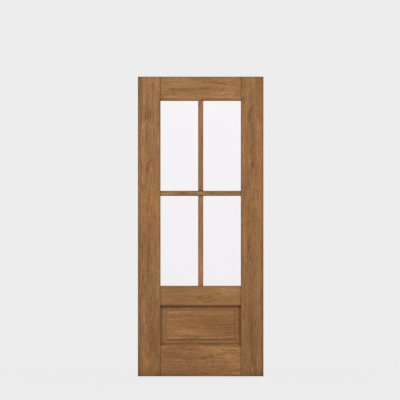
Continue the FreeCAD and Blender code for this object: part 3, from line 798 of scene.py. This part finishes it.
def outward(points, face_sets):
    """Turns all faces round if the volume that they close comes out negative. The volume is the sum of
    a . (b x c) over the triangles that fan out from the first corner of each face."""
    volume = sum((points[faces[:, :1]] * np.cross(points[faces[:, 1:-1]], points[faces[:, 2:]])).sum()
                 for faces in face_sets)
    return face_sets if volume > 0.0 else [faces[:, ::-1] for faces in face_sets]


def add_piece(name, points, face_sets, material, slot):
    """Makes a closed, smooth mesh piece at the origin that rides on the leaf."""
    mesh = bpy.data.meshes.new(name)
    faces = sum((some.tolist() for some in outward(points, face_sets)), [])
    mesh.from_pydata(points.tolist(), [], faces)
    if mesh.validate():
        raise RuntimeError(f"{name} has faces that do not hold")
    mesh.polygons.foreach_set("use_smooth", np.ones(len(faces), bool))
    mesh.materials.append(material)
    piece = bpy.data.objects.new(name, mesh)
    bpy.context.scene.collection.objects.link(piece)
    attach(piece, BODY)


def bead_corners(place, side):
    """The lowest and the highest corner of one glazing bead."""
    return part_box(f"bead_{place}_{side}")


def bead_rim(place):
    """The outline of the rebate that the beads of one pane fill."""
    return Face(bead_corners(place, "left")[0].x, bead_corners(place, "right")[1].x,
                bead_corners(place, "foot")[0].z, bead_corners(place, "head")[1].z)


def pane_sight(place):
    """The outline of the glass that shows between the beads of one pane."""
    return Face(bead_corners(place, "left")[1].x, bead_corners(place, "right")[0].x,
                bead_corners(place, "foot")[1].z, bead_corners(place, "head")[0].z)


def fillet_round_pane(sight, glass_y, outwards, leg):
    """A hollow fillet carried round a pane. Its section lies between the glass and the timber: the hollow
    side is u = leg times (1 - sin t), v = leg times (1 - cos t), t from 0 to 90 degrees, with a foot sunk a
    little into both. Along each side of the path it swells by a slow sine, and the corners are mitred."""
    side_steps = 40
    arc_points = 7
    sink = 0.00005
    swell_share = 0.10
    swell_waves = 2.5
    swell_phase = 0.7
    arc = np.linspace(0.0, np.pi / 2.0, arc_points)
    u = np.concatenate(([-sink], leg * (1.0 - np.sin(arc)), [-sink]))
    v = np.concatenate(([-sink], leg * (1.0 - np.cos(arc)), [leg]))
    v[1] = -sink
    t = np.arange(side_steps) / side_steps
    swell = 1.0 + swell_share * np.sin(np.pi * t) * np.sin(2.0 * np.pi * swell_waves * t + swell_phase)
    inset = np.maximum(u, 0.0)[:, None] * swell + np.minimum(u, 0.0)[:, None]
    rise = np.maximum(v, 0.0)[:, None] * swell + np.minimum(v, 0.0)[:, None]
    x0, x1 = sight.left + inset, sight.right - inset
    z0, z1 = sight.foot + inset, sight.head - inset
    x = np.stack((x0 + (x1 - x0) * t, x1, x1 - (x1 - x0) * t, x0), axis=1)
    z = np.stack((z0, z0 + (z1 - z0) * t, z1, z1 - (z1 - z0) * t), axis=1)
    y = glass_y + outwards * np.repeat(rise[:, None, :], 4, axis=1)
    points = np.stack((x, y, z), axis=-1).reshape(-1, 3)
    return points, [grid_faces(len(u), 4 * side_steps, close_rows=True)]


def pin_places(place, spacing):
    """Middles of the pins in the beads of one pane: an even row along the flat part of each bead's back."""
    end_gap = 0.045
    flat_share = 0.29
    rows = []
    for side in BEAD_SIDES:
        low, high = (np.array(corner) for corner in bead_corners(place, side))
        along, over = (2, 0) if side in UPRIGHT_SIDES else (0, 2)
        start, stop = low[along] + end_gap, high[along] - end_gap
        count = int(np.ceil((stop - start) / spacing)) + 1
        share = flat_share if side in ("left", "foot") else 1.0 - flat_share
        row = np.tile(high, (count, 1))
        row[:, over] = low[over] + share * (high[over] - low[over])
        row[:, along] = np.linspace(start, stop, count)
        rows.append(row)
    return np.concatenate(rows)


def pin_heads(centres, radius, height):
    """Domed heads. At r from its middle a head stands height times (1 - (r / radius) squared) above the
    bead, on rings of points. Its lowest ring is sunk into the bead, and triangles to a middle point close
    the foot and the top."""
    around = 14
    sink = 0.0005
    shares = np.array((1.0, 1.0, 0.8, 0.55, 0.28))
    rise = height * (1.0 - shares ** 2)
    rise[0] = -sink
    angle = 2.0 * np.pi * np.arange(around) / around
    x = radius * shares[:, None] * np.cos(angle)
    z = radius * shares[:, None] * np.sin(angle)
    rings = np.stack((x, np.broadcast_to(rise[:, None], x.shape), z), axis=-1).reshape(-1, 3)
    head = np.concatenate((rings, ((0.0, -sink, 0.0), (0.0, height, 0.0))))
    foot_middle = np.full(around, len(rings))
    foot_ring = np.arange(around)
    top_ring = foot_ring + len(rings) - around
    shell = grid_faces(len(shares), around, close_rows=False)
    caps = np.concatenate((np.stack((foot_middle, np.roll(foot_ring, -1), foot_ring), axis=-1),
                           np.stack((foot_middle + 1, top_ring, np.roll(top_ring, -1)), axis=-1)))
    points = (centres[:, None] + head).reshape(-1, 3)
    shift = np.arange(len(centres)) * len(head)
    return points, [(faces + shift[:, None, None]).reshape(-1, faces.shape[1]) for faces in (shell, caps)]


def lay_floor(setup):
    """A flat round floor: rings of points whose radius grows with the square of the ring's number."""
    hub = 0.02
    reach = 2.4
    drop = 0.0005
    rings = 24
    around = 64
    radius = hub + reach * np.linspace(0.0, 1.0, rings) ** 2
    angle = 2.0 * np.pi * np.arange(around) / around
    x = MIDDLE + radius[:, None] * np.cos(angle)
    y = radius[:, None] * np.sin(angle)
    points = np.stack((x, y, np.full_like(x, -drop)), axis=-1).reshape(-1, 3)
    mesh = bpy.data.meshes.new("floor")
    mesh.from_pydata(points.tolist(), [], grid_faces(rings, around, close_rows=False).tolist())
    mesh.materials.append(floor_material(setup, reach))
    floor = bpy.data.objects.new("floor", mesh)
    bpy.context.scene.collection.objects.link(floor)


def light_world(scene, setup):
    """Even soft light, a little stronger from above. The camera sees the backdrop's colour, and glass and
    gloss see a slightly brighter one that dims towards the ground."""
    white = (1.0, 1.0, 1.0)
    soft_rise = 0.25
    pane_colour = (1.0, 0.984, 0.995)
    pane_level = 0.932
    pane_dimmest = 0.85
    world = bpy.data.worlds.new("studio")
    world.use_nodes = True
    world.node_tree.nodes.clear()
    wiring = Wiring(world.node_tree)
    _, _, height = wiring.parts(wiring.where("Generated"))
    soft_strength = wiring.times(wiring.plus(wiring.times(height, soft_rise), 1.0), setup.soft_light)
    pane_strength = wiring.most(wiring.least(wiring.plus(height, pane_level), 1.0), pane_dimmest)
    soft = wiring.node("ShaderNodeBackground", {"Color": white, "Strength": soft_strength})
    through = wiring.node("ShaderNodeBackground", {"Color": pane_colour, "Strength": pane_strength})
    behind = wiring.node("ShaderNodeBackground", {"Color": setup.backdrop})
    path = wiring.node("ShaderNodeLightPath").outputs
    mirrored = wiring.most(path["Is Glossy Ray"], path["Is Transmission Ray"])
    unseen = wiring.mix_shader(mirrored, soft.outputs[0], through.outputs[0])
    seen = wiring.mix_shader(path["Is Camera Ray"], unseen, behind.outputs[0])
    wiring.node("ShaderNodeOutputWorld", {"Surface": seen})
    scene.world = world


def hang_lamp(name, place, width, height, power):
    """One large soft lamp, aimed at the middle of the leaf."""
    aim_height = 1.15
    light = bpy.data.lights.new(name, "AREA")
    light.shape = "RECTANGLE"
    light.size = width
    light.size_y = height
    light.energy = power
    lamp = bpy.data.objects.new(name, light)
    lamp.location = place
    aim = Vector((MIDDLE, 0.0, aim_height)) - lamp.location
    lamp.rotation_euler = aim.to_track_quat("-Z", "Y").to_euler()
    bpy.context.scene.collection.objects.link(lamp)


def place_camera(scene, setup):
    """A long lens square to the front face: the sensor's width times view distance over view width."""
    sensor = 36.0
    view_x = 0.4105
    view_z = 1.1655
    data = bpy.data.cameras.new("front_view")
    data.sensor_width = sensor
    data.sensor_fit = "HORIZONTAL"
    data.lens = sensor * setup.view_distance / setup.view_width
    data.clip_end = 100.0
    camera = bpy.data.objects.new("front_view", data)
    camera.location = (view_x, FRONT - setup.view_distance, view_z)
    camera.rotation_euler = (radians(90.0), 0.0, 0.0)
    scene.collection.objects.link(camera)
    scene.camera = camera


class TimberFinish(PropertyGroup):
    """Colours and grain of the stained timber."""

    deepest: FloatVectorProperty(name="Deepest stain", description="Colour of knots and flecks",
                                 subtype="COLOR", default=shown(92, 62, 42))
    dark: FloatVectorProperty(name="Dark stain", description="Colour of dark streaks",
                              subtype="COLOR", default=shown(121, 86, 55))
    middle: FloatVectorProperty(name="Middle stain", description="Main colour of the timber",
                                subtype="COLOR", default=shown(148, 106, 66))
    light: FloatVectorProperty(name="Light stain", description="Colour of light streaks",
                               subtype="COLOR", default=shown(166, 122, 76))
    palest: FloatVectorProperty(name="Palest stain", description="Colour of the lightest streaks",
                                subtype="COLOR", default=shown(186, 142, 94))
    orange_shift: FloatVectorProperty(name="Orange shift", default=(0.044, -0.006, -0.085),
                                      description="Change of red, green and blue in orange streaks")
    olive_shift: FloatVectorProperty(name="Olive shift", default=(-0.038, 0.030, -0.055),
                                     description="Change of red, green and blue in olive streaks")
    ring_spacing: FloatProperty(name="Ring spacing", description="Distance between yearly rings",
                                unit="LENGTH", default=0.0075)


class GlazingFinish(PropertyGroup):
    """Colours and sizes of the glass and of what holds it."""

    glass_tint: FloatVectorProperty(name="Glass tint", description="Colour that the glass gives to light",
                                    subtype="COLOR", default=(0.985, 0.98, 0.985))
    spacer_colour: FloatVectorProperty(name="Spacer colour", description="Colour of the spacer bars",
                                       subtype="COLOR", default=(0.62, 0.63, 0.64))
    sealant_colour: FloatVectorProperty(name="Sealant colour", description="Colour of the sealant lines",
                                        subtype="COLOR", default=(0.13, 0.068, 0.034))
    pin_colour: FloatVectorProperty(name="Pin colour", description="Colour of the bead pins",
                                    subtype="COLOR", default=(0.20, 0.15, 0.10))
    front_leg: FloatProperty(name="Front fillet", description="Width of the front sealant on the glass",
                             unit="LENGTH", default=0.0004)
    back_leg: FloatProperty(name="Back fillet", description="Width of the sealant beside the beads",
                            unit="LENGTH", default=0.0004)
    pin_radius: FloatProperty(name="Pin radius", description="Radius of a pin head",
                              unit="LENGTH", default=0.0012)
    pin_height: FloatProperty(name="Pin height", description="Height of a pin head",
                              unit="LENGTH", default=0.0003)
    pin_spacing: FloatProperty(name="Pin spacing", description="Greatest distance between pins",
                               unit="LENGTH", default=0.17)


class StageSetup(PropertyGroup):
    """Backdrop, light and camera."""

    backdrop: FloatVectorProperty(name="Backdrop", description="Colour behind the door",
                                  subtype="COLOR", default=shown(237, 237, 237))
    floor: FloatVectorProperty(name="Floor", description="Colour of the floor near the door",
                               subtype="COLOR", default=(0.50, 0.50, 0.50))
    soft_light: FloatProperty(name="Soft light", description="Brightness of the light from all round",
                              default=0.44)
    key_light: FloatProperty(name="Key light", description="Power of the large lamp",
                             unit="POWER", default=830.0)
    back_light: FloatProperty(name="Back light", description="Power of the lamp behind the door",
                              unit="POWER", default=420.0)
    view_distance: FloatProperty(name="View distance", description="From the front face to the camera",
                                 unit="LENGTH", default=24.0)
    view_width: FloatProperty(name="View width", description="Width of the picture at the front face",
                              unit="LENGTH", default=2.64388)


class DOOR_OT_stain_frame(Operator):
    """Stains the stiles, rails and bars, each with its own grain"""

    bl_idname = "door_leaf.stain_frame"
    bl_label = "Stain Frame and Bars"

    def execute(self, context):
        for board in BOARDS:
            dress(board.node, timber_material(context.scene.door_timber, board, edge_shade_and_joints))
        return {"FINISHED"}


class DOOR_OT_stain_panel(Operator):
    """Stains the raised panel and the mitred strips round it, with the grain along each strip"""

    bl_idname = "door_leaf.stain_panel"
    bl_label = "Stain Panel and Strips"

    def execute(self, context):
        finish = context.scene.door_timber
        dress(PANEL.node, timber_material(finish, PANEL, margin_shade_and_light))
        for strip in STRIPS:
            material = timber_material(finish, strip, mitres_and_rim_shade)
            dress(f"front_{strip.node}", material)
            dress(f"back_{strip.node}", material)
        return {"FINISHED"}


class DOOR_OT_stain_beads(Operator):
    """Stains the glazing beads, with the grain along each of them"""

    bl_idname = "door_leaf.stain_beads"
    bl_label = "Stain Glazing Beads"

    def execute(self, context):
        for place in PLACES:
            rim = bead_rim(place)
            beads = {
                UPRIGHT_SIDES: Board(f"upright_bead_{place}", "upright", rim, UPRIGHT_BEAD_CUT, BEAD_SHADE),
                LEVEL_SIDES: Board(f"level_bead_{place}", "level", rim, LEVEL_BEAD_CUT, BEAD_SHADE),
            }
            for sides, bead in beads.items():
                material = timber_material(context.scene.door_timber, bead, bead_joints)
                for side in sides:
                    dress(f"bead_{place}_{side}", material)
        return {"FINISHED"}


class DOOR_OT_clear_glass(Operator):
    """Makes the sheets of the four sealed panes clear glass"""

    bl_idname = "door_leaf.clear_glass"
    bl_label = "Clear Glass"

    def execute(self, context):
        glass = glass_material(context.scene.door_glazing)
        for place in PLACES:
            dress(f"front_glass_{place}", glass)
            dress(f"back_glass_{place}", glass)
        return {"FINISHED"}


class DOOR_OT_finish_spacers(Operator):
    """Finishes the bars between the sheets as vented aluminium"""

    bl_idname = "door_leaf.finish_spacers"
    bl_label = "Finish Spacers"

    def execute(self, context):
        metal = spacer_material(context.scene.door_glazing)
        for place in PLACES:
            dress(f"spacer_{place}", metal)
        return {"FINISHED"}


class DOOR_OT_run_sealant(Operator):
    """Runs a fillet of sealant round each pane, on the front and beside the beads"""

    bl_idname = "door_leaf.run_sealant"
    bl_label = "Run Sealant"

    def execute(self, context):
        finish = context.scene.door_glazing
        sealant = sealant_material(finish)
        for place in PLACES:
            sight = pane_sight(place)
            front_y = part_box(f"front_glass_{place}")[0].y
            back_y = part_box(f"back_glass_{place}")[1].y
            front = fillet_round_pane(sight, front_y, -1.0, finish.front_leg)
            back = fillet_round_pane(sight, back_y, 1.0, finish.back_leg)
            add_piece(f"front_sealant_{place}", *front, sealant, "glazing_sealant")
            add_piece(f"back_sealant_{place}", *back, sealant, "glazing_sealant")
        return {"FINISHED"}


class DOOR_OT_drive_pins(Operator):
    """Drives small pins through the glazing beads"""

    bl_idname = "door_leaf.drive_pins"
    bl_label = "Drive Bead Pins"

    def execute(self, context):
        finish = context.scene.door_glazing
        metal = pin_material(finish)
        for place in PLACES:
            centres = pin_places(place, finish.pin_spacing)
            heads = pin_heads(centres, finish.pin_radius, finish.pin_height)
            add_piece(f"bead_pins_{place}", *heads, metal, "spacer_metal")
        return {"FINISHED"}


class DOOR_OT_set_stage(Operator):
    """Sets the pale floor, the soft light and the camera square to the front"""

    bl_idname = "door_leaf.set_stage"
    bl_label = "Set Stage"

    def execute(self, context):
        scene = context.scene
        setup = scene.door_stage
        lay_floor(setup)
        light_world(scene, setup)
        hang_lamp("key", place=(-0.8, -5.6, 8.8), width=4.0, height=3.4, power=setup.key_light)
        hang_lamp("back_fill", place=(2.4, 6.0, 6.0), width=4.0, height=4.0, power=setup.back_light)
        place_camera(scene, setup)
        scene.view_settings.view_transform = "Standard"
        return {"FINISHED"}


STEPS = (DOOR_OT_stain_frame, DOOR_OT_stain_panel, DOOR_OT_stain_beads, DOOR_OT_clear_glass,
         DOOR_OT_finish_spacers, DOOR_OT_run_sealant, DOOR_OT_drive_pins, DOOR_OT_set_stage)


class DOOR_PT_panel(Panel):
    """Lists the steps that finish the door"""

    bl_idname = "DOOR_PT_panel"
    bl_label = "Door Leaf"
    bl_space_type = "VIEW_3D"
    bl_region_type = "UI"
    bl_category = "Door"

    def draw(self, context):
        for step in STEPS:
            self.layout.operator(step.bl_idname)


CLASSES = (TimberFinish, GlazingFinish, StageSetup, *STEPS, DOOR_PT_panel)


def register():
    for cls in CLASSES:
        bpy.utils.register_class(cls)
    bpy.types.Scene.door_timber = PointerProperty(type=TimberFinish)
    bpy.types.Scene.door_glazing = PointerProperty(type=GlazingFinish)
    bpy.types.Scene.door_stage = PointerProperty(type=StageSetup)


def unregister():
    del bpy.types.Scene.door_stage
    del bpy.types.Scene.door_glazing
    del bpy.types.Scene.door_timber
    for cls in reversed(CLASSES):
        bpy.utils.unregister_class(cls)


def main():
    register()
    bpy.ops.door_leaf.stain_frame()
    bpy.ops.door_leaf.stain_panel()
    bpy.ops.door_leaf.stain_beads()
    bpy.ops.door_leaf.clear_glass()
    bpy.ops.door_leaf.finish_spacers()
    bpy.ops.door_leaf.run_sealant()
    bpy.ops.door_leaf.drive_pins()
    bpy.ops.door_leaf.set_stage()


if __name__ == "__main__":
    main()
